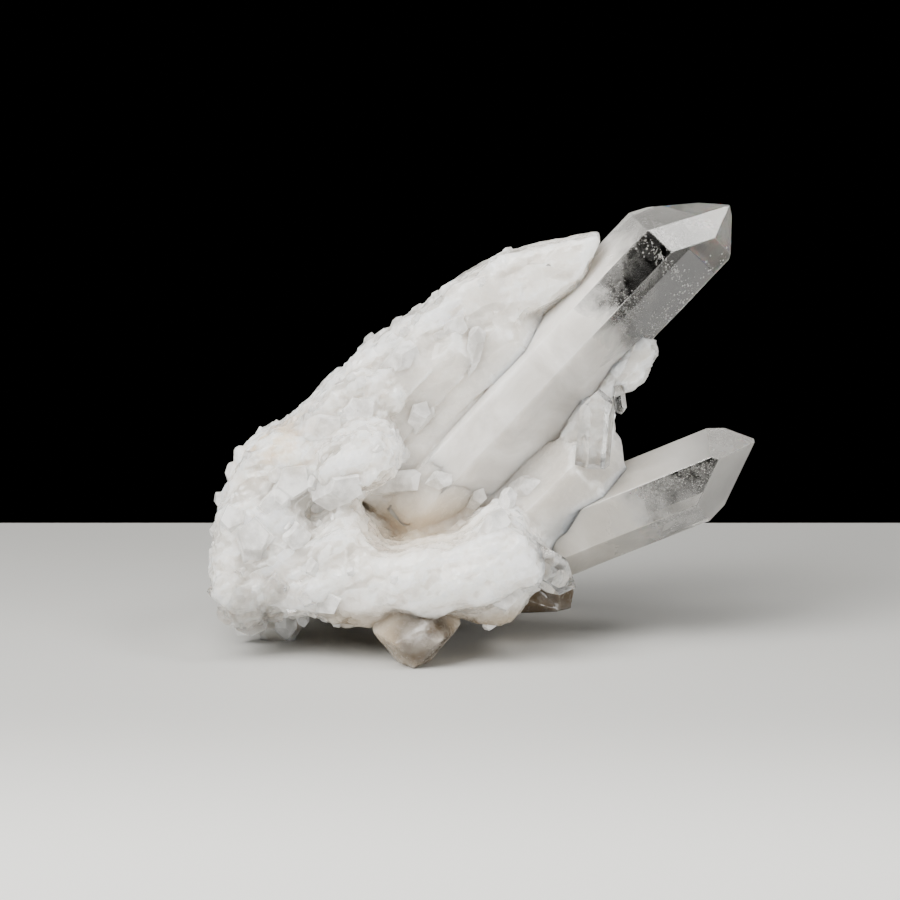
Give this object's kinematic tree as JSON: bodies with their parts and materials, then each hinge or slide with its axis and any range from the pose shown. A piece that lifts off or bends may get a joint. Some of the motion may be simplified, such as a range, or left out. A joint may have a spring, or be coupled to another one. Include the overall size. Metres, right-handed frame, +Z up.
{
  "type": "quartz crystal cluster",
  "caption": "Milky quartz crystal cluster with long clear-tipped points, a free-standing display mineral.",
  "frame": {"origin": "middle of the box round the cluster, on the plane that it rests on", "axes": "+X towards the tips of the long points, +Y away from the side that shows them best, +Z up"},
  "size_m": [0.201, 0.1131, 0.1626],
  "materials": {
    "milky_quartz": "satin",
    "clear_quartz": "gloss"
  },
  "bodies": {
    "root": {"quartz_cluster": "milky_quartz"}
  },
  "joints": []
}
